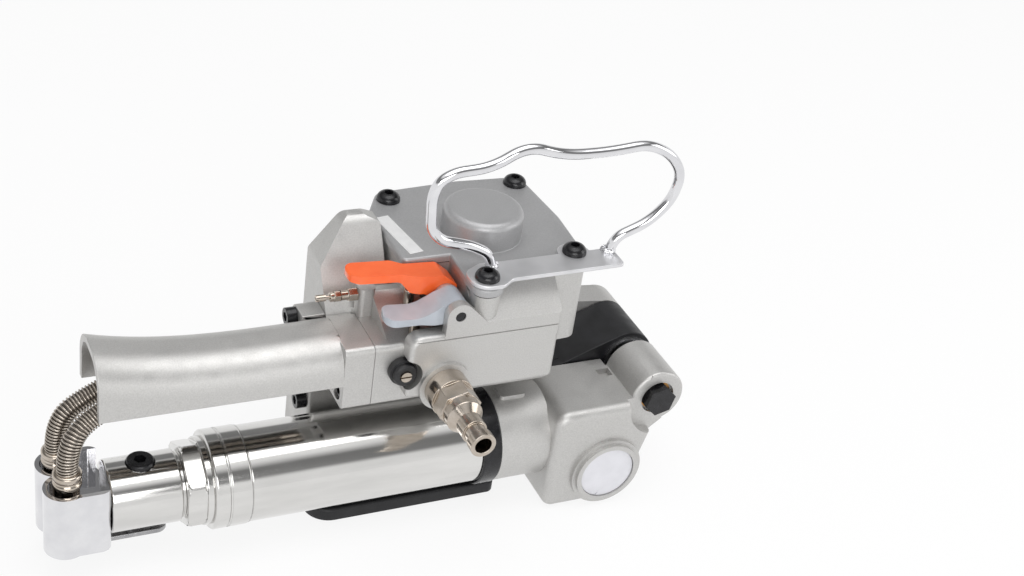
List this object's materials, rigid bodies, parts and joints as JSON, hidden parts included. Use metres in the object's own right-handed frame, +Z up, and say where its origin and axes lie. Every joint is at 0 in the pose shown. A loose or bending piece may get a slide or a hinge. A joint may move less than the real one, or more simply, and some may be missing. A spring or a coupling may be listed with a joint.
{
  "type": "strapping tool",
  "caption": "Hand-held pneumatic friction-weld strapping tool with tension wheel, weld head, two press levers, grip and hanging loop.",
  "frame": {"origin": "underside of the base plate, on the vertical axis of the weld head and on the centre line of the strap", "axes": "+X along the tool from the hose end to the hinge of the tension arm, +Y to the open side where the strap goes in, +Z up"},
  "size_m": [0.308, 0.1414, 0.1932],
  "materials": {
    "black_steel": "black oxide steel, satin",
    "tool_steel": "hardened tool steel",
    "black_screws": "black oxide, semi-gloss",
    "cast_aluminium": "bead-blasted aluminium casting",
    "cover_grey": "painted grey, matte",
    "gasket": "rubber sheet",
    "chrome": "chrome plated",
    "polished_steel": "polished steel tube",
    "machine_steel": "turned steel",
    "nickel_brass": "nickel plated brass",
    "bronze": "bearing bronze",
    "braided_hose": "rubber hose under a steel braid",
    "orange_lever": "orange gloss enamel",
    "grey_lever": "pale grey enamel",
    "white_disc": "white plastic cover",
    "black_plastic": "black plastic",
    "iron": "ground cast iron",
    "phenolic": "fabric-filled phenolic"
  },
  "bodies": {
    "frame": {"base_frame": "black_steel", "lower_gripper": "tool_steel", "lower_weld_jaw": "tool_steel", "plate_screws": "black_screws", "main_casting": "cast_aluminium", "top_cover": "cover_grey", "cover_gasket": "gasket", "cover_screws": "black_screws", "hanger_bracket": "chrome", "hanger_bail": "chrome", "handle": "cast_aluminium", "hose_fittings": "nickel_brass", "air_hose_front": "braided_hose", "air_hose_rear": "braided_hose", "cap_screws": "black_screws", "air_plug": "nickel_brass", "timer_plug": "black_plastic", "adjuster_body": "nickel_brass", "lever_pin": "black_screws", "hinge_pin": "black_screws", "hinge_washers": "machine_steel", "return_spring": "machine_steel", "weld_cylinder": "machine_steel"},
    "tension_arm": {"gear_housing": "cast_aluminium", "wheel_cover_disc": "white_disc", "wheel_bearings": "machine_steel", "worm_bearings": "machine_steel", "pivot_bush": "bronze", "motor_ring": "black_screws", "motor_tube": "polished_steel", "coupling_nut": "polished_steel", "rear_tube": "polished_steel", "socket_plug": "black_screws", "rear_cap": "chrome", "hose_ferrules": "nickel_brass", "motor_liner": "iron", "motor_end_plates": "iron", "ring_gear": "machine_steel"},
    "throttle": {"throttle_lever": "machine_steel"},
    "throttle_valve": {"throttle_pin": "machine_steel"},
    "rotor": {"motor_rotor": "machine_steel", "rotor_vanes": "phenolic"},
    "worm": {"worm_shaft": "machine_steel"},
    "planet_1": {"planet_gear_1": "machine_steel"},
    "planet_2": {"planet_gear_2": "machine_steel"},
    "planet_3": {"planet_gear_3": "machine_steel"},
    "wheel": {"tension_wheel": "tool_steel", "wheel_shaft": "machine_steel", "worm_gear": "bronze"},
    "tension_handle": {"tension_lever": "grey_lever"},
    "tension_valve": {"tension_plunger": "nickel_brass"},
    "weld_handle": {"weld_lever": "orange_lever"},
    "weld_valve": {"weld_plunger": "nickel_brass"},
    "timer": {"timer_screw": "nickel_brass"},
    "needle": {"adjuster_needle": "nickel_brass"},
    "press": {"press_piston": "machine_steel", "jaw_carrier": "tool_steel", "cutter_blade": "tool_steel"},
    "turbine": {"weld_rotor": "machine_steel"},
    "shoe": {"weld_shoe": "tool_steel"}
  },
  "joints": [
    {"name": "arm_pivot", "type": "hinge", "parent": "frame", "child": "tension_arm", "pos_m": [0.0835, 0, 0.0545], "axis": [0, 1, 0], "range_deg": [0, 5], "stiffness_Nm_per_rad": 4, "springref_deg": -17.19, "deforming": ["air_hose_front", "air_hose_rear", "return_spring"]},
    {"name": "rotor_spin", "type": "hinge", "parent": "tension_arm", "child": "rotor", "pos_m": [-0.087, -0.0285, 0.0325], "axis": [1, 0, 0], "continuous": true},
    {"name": "worm_spin", "type": "hinge", "parent": "tension_arm", "child": "worm", "pos_m": [0.02, -0.0285, 0.0325], "axis": [1, 0, 0], "continuous": true},
    {"name": "planet_1_spin", "type": "hinge", "parent": "worm", "child": "planet_1", "pos_m": [-0.049, -0.0177, 0.0325], "axis": [1, 0, 0], "continuous": true},
    {"name": "planet_2_spin", "type": "hinge", "parent": "worm", "child": "planet_2", "pos_m": [-0.049, -0.0339, 0.04185], "axis": [1, 0, 0], "continuous": true},
    {"name": "planet_3_spin", "type": "hinge", "parent": "worm", "child": "planet_3", "pos_m": [-0.049, -0.0339, 0.02315], "axis": [1, 0, 0], "continuous": true},
    {"name": "wheel_spin", "type": "hinge", "parent": "tension_arm", "child": "wheel", "pos_m": [0.0575, 0, 0.0194], "axis": [0, 1, 0], "continuous": true},
    {"name": "throttle_pivot", "type": "hinge", "parent": "tension_arm", "child": "throttle", "pos_m": [-0.185, -0.0285, 0.012], "axis": [0, -1, 0], "range_deg": [0, 4], "stiffness_Nm_per_rad": 0.4, "springref_deg": -8.59},
    {"name": "throttle_pin_slide", "type": "slide", "parent": "tension_arm", "child": "throttle_valve", "axis": [0, 0, 1], "range_m": [0, 0.0011]},
    {"name": "tension_lever_pivot", "type": "hinge", "parent": "frame", "child": "tension_handle", "pos_m": [-0.0285, -0.0372, 0.118], "axis": [0, -1, 0], "range_deg": [0, 6], "stiffness_Nm_per_rad": 0.8, "springref_deg": -8.59},
    {"name": "tension_plunger_slide", "type": "slide", "parent": "frame", "child": "tension_valve", "axis": [0, 0, -1], "range_m": [0, 0.0018]},
    {"name": "weld_lever_pivot", "type": "hinge", "parent": "frame", "child": "weld_handle", "pos_m": [-0.0285, -0.0223, 0.118], "axis": [0, -1, 0], "range_deg": [0, 6], "stiffness_Nm_per_rad": 0.8, "springref_deg": -8.59},
    {"name": "weld_plunger_slide", "type": "slide", "parent": "frame", "child": "weld_valve", "axis": [0, 0, -1], "range_m": [0, 0.0016]},
    {"name": "timer_turn", "type": "hinge", "parent": "frame", "child": "timer", "pos_m": [-0.0515, -0.041, 0.0889], "axis": [0, -1, 0], "range_deg": [-150, 150]},
    {"name": "needle_turn", "type": "hinge", "parent": "frame", "child": "needle", "pos_m": [-0.075, -0.0125, 0.1127], "axis": [-1, 0, 0], "range_deg": [-180, 180]},
    {"name": "weld_press_slide", "type": "slide", "parent": "frame", "child": "press", "axis": [0, 0, -1], "range_m": [0, 0.003], "stiffness_N_per_m": 3000, "springref_m": -0.004},
    {"name": "weld_rotor_spin", "type": "hinge", "parent": "press", "child": "turbine", "pos_m": [0, 0, 0.1], "axis": [0, 0, 1], "continuous": true},
    {"name": "weld_shoe_slide", "type": "slide", "parent": "press", "child": "shoe", "axis": [0, 1, 0], "range_m": [-0.0005, 0.0005]}
  ],
  "couplings": [
    {"joint": "worm_spin", "follows": "rotor_spin", "ratio": 0.25},
    {"joint": "planet_1_spin", "follows": "rotor_spin", "ratio": -0.75},
    {"joint": "planet_2_spin", "follows": "rotor_spin", "ratio": -0.75},
    {"joint": "planet_3_spin", "follows": "rotor_spin", "ratio": -0.75},
    {"joint": "wheel_spin", "follows": "rotor_spin", "ratio": 0.014706},
    {"joint": "throttle_pin_slide", "follows": "throttle_pivot", "m_per_rad": 0.015},
    {"joint": "tension_plunger_slide", "follows": "tension_lever_pivot", "m_per_rad": 0.0165},
    {"joint": "weld_plunger_slide", "follows": "weld_lever_pivot", "m_per_rad": 0.015}
  ]
}
